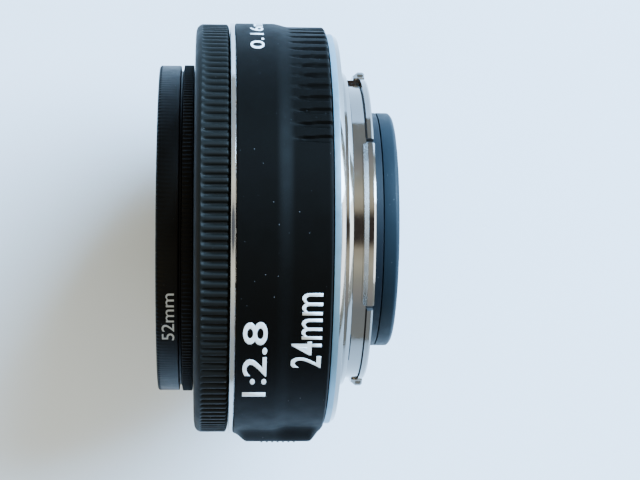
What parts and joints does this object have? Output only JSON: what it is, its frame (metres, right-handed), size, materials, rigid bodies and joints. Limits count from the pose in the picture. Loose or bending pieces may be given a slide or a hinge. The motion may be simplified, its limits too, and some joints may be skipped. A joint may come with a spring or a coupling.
{
  "type": "prime camera lens",
  "caption": "Slim autofocus prime lens with a ribbed focus ring, pale accent ring, bayonet mount and screw-in filter.",
  "frame": {"origin": "on the optical axis in the rear face of the mount flange", "axes": "+Y runs to the rear of the lens along the optical axis, +Z is the top of the lens in use, +X is the side with the focus mode switch"},
  "size_m": [0.0697, 0.0384, 0.0682],
  "materials": {
    "satin_black": "satin moulded",
    "ring_black": "ribbed matt",
    "filter_black": "black anodised",
    "pale_accent": "satin pale",
    "mount_chrome": "polished and lightly worn",
    "screw_steel": "machined",
    "baffle_slate": "matt",
    "inner_black": "matt black",
    "frame_resin": "moulded",
    "inner_aluminium": "machined",
    "brass": "turned",
    "contact_gold": "gold plated",
    "nylon": "natural",
    "board": "solder mask",
    "chip": "moulded",
    "glass": "coated and polished",
    "white_mark": "gloss",
    "blade_film": "matt film"
  },
  "bodies": {
    "body": {"outer_barrel": "satin_black", "accent_ring": "pale_accent", "fixed_frame": "frame_resin", "guide_tube": "frame_resin", "mount_flange": "mount_chrome", "mount_screw_1": "screw_steel", "mount_screw_2": "screw_steel", "mount_screw_3": "screw_steel", "mount_screw_4": "screw_steel", "rear_cover": "baffle_slate", "rear_edge_ring": "baffle_slate", "rear_cover_screw_1": "screw_steel", "rear_cover_screw_2": "screw_steel", "contact_block": "inner_black", "contact_pins": "contact_gold", "main_board": "board", "controller_chip": "chip", "focus_motor": "inner_aluminium", "gear_post": "screw_steel", "encoder_sensor": "chip", "index_mark": "white_mark", "cam_retainer": "screw_steel", "ring_washer": "nylon"},
    "focus_grip": {"focus_ring": "ring_black", "encoder_ring": "screw_steel"},
    "cam": {"cam_ring": "inner_aluminium"},
    "idler": {"reduction_gear": "nylon"},
    "pinion": {"motor_pinion": "brass"},
    "optics": {"lens_barrel": "inner_black", "front_barrel": "satin_black", "name_ring": "inner_black", "cam_follower_1": "brass", "cam_follower_2": "brass", "cam_follower_3": "brass", "front_cell": "inner_black", "front_retaining_ring": "inner_black", "front_element": "glass", "second_element": "glass", "iris_housing": "inner_black", "iris_cover": "inner_black", "aperture_motor": "inner_aluminium", "rear_cell": "inner_black", "third_element": "glass", "fourth_element": "glass", "fifth_element": "glass", "rear_element": "glass", "rear_retaining_ring": "inner_black"},
    "iris_drive": {"aperture_ring": "screw_steel"},
    "iris_pinion": {"aperture_pinion": "brass"},
    "mode_switch": {"switch_knob": "satin_black"},
    "filter_carrier": {"filter_glass": "glass"},
    "filter_grip": {"filter_frame": "filter_black", "filter_retaining_ring": "filter_black"},
    "blade_1": {"aperture_blade_1": "blade_film"},
    "blade_2": {"aperture_blade_2": "blade_film"},
    "blade_3": {"aperture_blade_3": "blade_film"},
    "blade_4": {"aperture_blade_4": "blade_film"},
    "blade_5": {"aperture_blade_5": "blade_film"},
    "blade_6": {"aperture_blade_6": "blade_film"},
    "blade_7": {"aperture_blade_7": "blade_film"}
  },
  "joints": [
    {"name": "focus_ring_turn", "type": "hinge", "parent": "body", "child": "focus_grip", "pos_m": [0, 0, 0], "axis": [0, 1, 0], "continuous": true},
    {"name": "cam_ring_turn", "type": "hinge", "parent": "body", "child": "cam", "pos_m": [0, 0, 0], "axis": [0, 1, 0], "range_deg": [0, 90]},
    {"name": "barrel_extend", "type": "slide", "parent": "body", "child": "optics", "axis": [0, -1, 0], "range_m": [0, 0.0055]},
    {"name": "reduction_gear_turn", "type": "hinge", "parent": "body", "child": "idler", "pos_m": [-0.0131, 0, 0.02269], "axis": [0, 1, 0], "range_deg": [-1220.5, 0]},
    {"name": "motor_pinion_turn", "type": "hinge", "parent": "body", "child": "pinion", "pos_m": [-0.00907, 0, 0.0249], "axis": [0, 1, 0], "range_deg": [0, 2288]},
    {"name": "aperture_ring_turn", "type": "hinge", "parent": "optics", "child": "iris_drive", "pos_m": [0, 0, 0], "axis": [0, 1, 0], "range_deg": [0, 5.66]},
    {"name": "iris_pinion_turn", "type": "hinge", "parent": "optics", "child": "iris_pinion", "pos_m": [-0.00493, 0, -0.01353], "axis": [0, 1, 0], "range_deg": [-62.3, 0]},
    {"name": "blade_1_turn", "type": "hinge", "parent": "optics", "child": "blade_1", "pos_m": [0, -0.0115, 0.0096], "axis": [0, 1, 0], "range_deg": [0, 27.01]},
    {"name": "blade_2_turn", "type": "hinge", "parent": "optics", "child": "blade_2", "pos_m": [0.00751, -0.0115, 0.00599], "axis": [0, 1, 0], "range_deg": [0, 27.01]},
    {"name": "blade_3_turn", "type": "hinge", "parent": "optics", "child": "blade_3", "pos_m": [0.00936, -0.0115, -0.00214], "axis": [0, 1, 0], "range_deg": [0, 27.01]},
    {"name": "blade_4_turn", "type": "hinge", "parent": "optics", "child": "blade_4", "pos_m": [0.00417, -0.0115, -0.00865], "axis": [0, 1, 0], "range_deg": [0, 27.01]},
    {"name": "blade_5_turn", "type": "hinge", "parent": "optics", "child": "blade_5", "pos_m": [-0.00417, -0.0115, -0.00865], "axis": [0, 1, 0], "range_deg": [0, 27.01]},
    {"name": "blade_6_turn", "type": "hinge", "parent": "optics", "child": "blade_6", "pos_m": [-0.00936, -0.0115, -0.00214], "axis": [0, 1, 0], "range_deg": [0, 27.01]},
    {"name": "blade_7_turn", "type": "hinge", "parent": "optics", "child": "blade_7", "pos_m": [-0.00751, -0.0115, 0.00599], "axis": [0, 1, 0], "range_deg": [0, 27.01]},
    {"name": "mode_switch_slide", "type": "slide", "parent": "body", "child": "mode_switch", "axis": [0, -1, 0], "range_m": [0, 0.0016]},
    {"name": "filter_back_off", "type": "slide", "parent": "optics", "child": "filter_carrier", "axis": [0, -1, 0], "range_m": [0, 0.0015]},
    {"name": "filter_turn", "type": "hinge", "parent": "filter_carrier", "child": "filter_grip", "pos_m": [0, 0, 0], "axis": [0, -1, 0], "range_deg": [0, 720]}
  ],
  "couplings": [
    {"joint": "cam_ring_turn", "follows": "barrel_extend", "rad_per_m": 285.6},
    {"joint": "reduction_gear_turn", "follows": "barrel_extend", "rad_per_m": -3871.5},
    {"joint": "motor_pinion_turn", "follows": "barrel_extend", "rad_per_m": 7259},
    {"joint": "iris_pinion_turn", "follows": "aperture_ring_turn", "ratio": -11},
    {"joint": "filter_turn", "follows": "filter_back_off", "rad_per_m": 8377.6},
    {"joint": "blade_1_turn", "follows": "aperture_ring_turn", "ratio": 4.7737},
    {"joint": "blade_2_turn", "follows": "aperture_ring_turn", "ratio": 4.7737},
    {"joint": "blade_3_turn", "follows": "aperture_ring_turn", "ratio": 4.7737},
    {"joint": "blade_4_turn", "follows": "aperture_ring_turn", "ratio": 4.7737},
    {"joint": "blade_5_turn", "follows": "aperture_ring_turn", "ratio": 4.7737},
    {"joint": "blade_6_turn", "follows": "aperture_ring_turn", "ratio": 4.7737},
    {"joint": "blade_7_turn", "follows": "aperture_ring_turn", "ratio": 4.7737}
  ]
}
